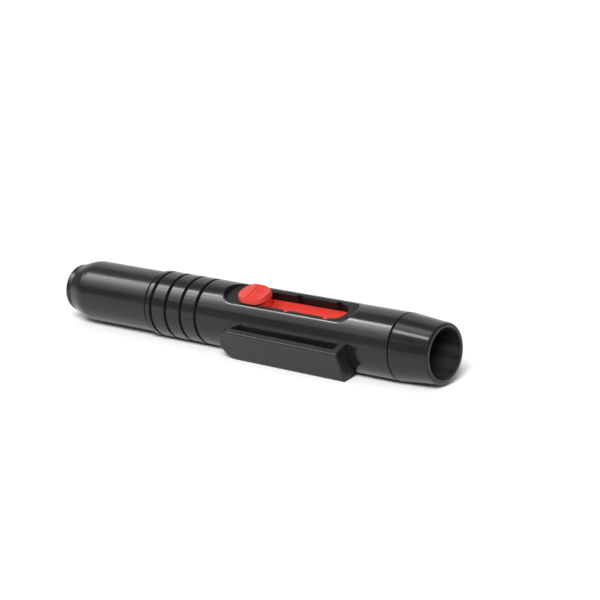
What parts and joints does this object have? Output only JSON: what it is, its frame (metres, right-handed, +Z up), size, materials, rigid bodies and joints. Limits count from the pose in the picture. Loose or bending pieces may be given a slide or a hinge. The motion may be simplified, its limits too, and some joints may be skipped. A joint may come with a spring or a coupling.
{
  "type": "lens cleaning pen",
  "caption": "Slim round cleaning pen with a thumb-slid retractable brush at one end, a pocket clip, and a pull-off twist cap over a flexible cleaning pad at the other.",
  "frame": {"origin": "on the table under the middle of the pen's bounding box, with the pen lying on its collar, and the barrel and the clip's lower edge 0.02 mm above the table", "axes": "+X along the pen's axis towards the brush mouth, -X towards the cap, +Z up, -Y the side the clip and the thumb button lean to"},
  "size_m": [0.1154, 0.0204, 0.0172],
  "materials": {
    "black_body": "satin black moulded plastic",
    "black_inner": "matt black moulded plastic",
    "red_plastic": "satin red moulded plastic",
    "bright_metal": "drawn aluminium",
    "brush_hair": "fine dark brush hair",
    "soft_rubber": "matt soft rubber",
    "chamois": "napped chamois loaded with carbon",
    "carbon_foam": "open foam loaded with carbon"
  },
  "bodies": {
    "barrel": {"barrel": "black_body", "nose_collar": "black_body", "neck_plug": "black_inner", "tip_stem": "soft_rubber"},
    "clip": {"pocket_clip": "black_body"},
    "slider": {"slider_button": "red_plastic", "slider_cover": "red_plastic", "brush_holder": "black_inner", "brush_ferrule": "bright_metal", "bristle_plug": "black_inner", "bristle_bundle": "brush_hair"},
    "sleeve": {"cap_sleeve": "black_inner"},
    "cap": {"cap_shell": "black_body", "cap_end_plug": "black_body", "sponge_cup": "black_inner", "carbon_sponge": "carbon_foam"},
    "tip": {"tip_head": "black_inner", "pad_cushion": "carbon_foam", "cleaning_pad": "chamois"}
  },
  "joints": [
    {"name": "brush_slide", "type": "slide", "parent": "barrel", "child": "slider", "axis": [1, 0, 0], "range_m": [0, 0.0223]},
    {"name": "clip_flex", "type": "hinge", "parent": "barrel", "child": "clip", "pos_m": [0.03535, -0.00551, 0.00494], "axis": [0, -0.3875, 0.9219], "range_deg": [0, 6], "stiffness_Nm_per_rad": 0.4},
    {"name": "cap_slide", "type": "slide", "parent": "barrel", "child": "sleeve", "axis": [-1, 0, 0], "range_m": [0, 0.03]},
    {"name": "cap_twist", "type": "hinge", "parent": "sleeve", "child": "cap", "pos_m": [-0.02875, 0.00205, 0.00812], "axis": [1, 0, 0], "continuous": true},
    {"name": "tip_flex", "type": "hinge", "parent": "barrel", "child": "tip", "pos_m": [-0.0403, 0.00205, 0.00812], "axis": [0, 1, 0], "range_deg": [-8, 8], "stiffness_Nm_per_rad": 0.05}
  ]
}
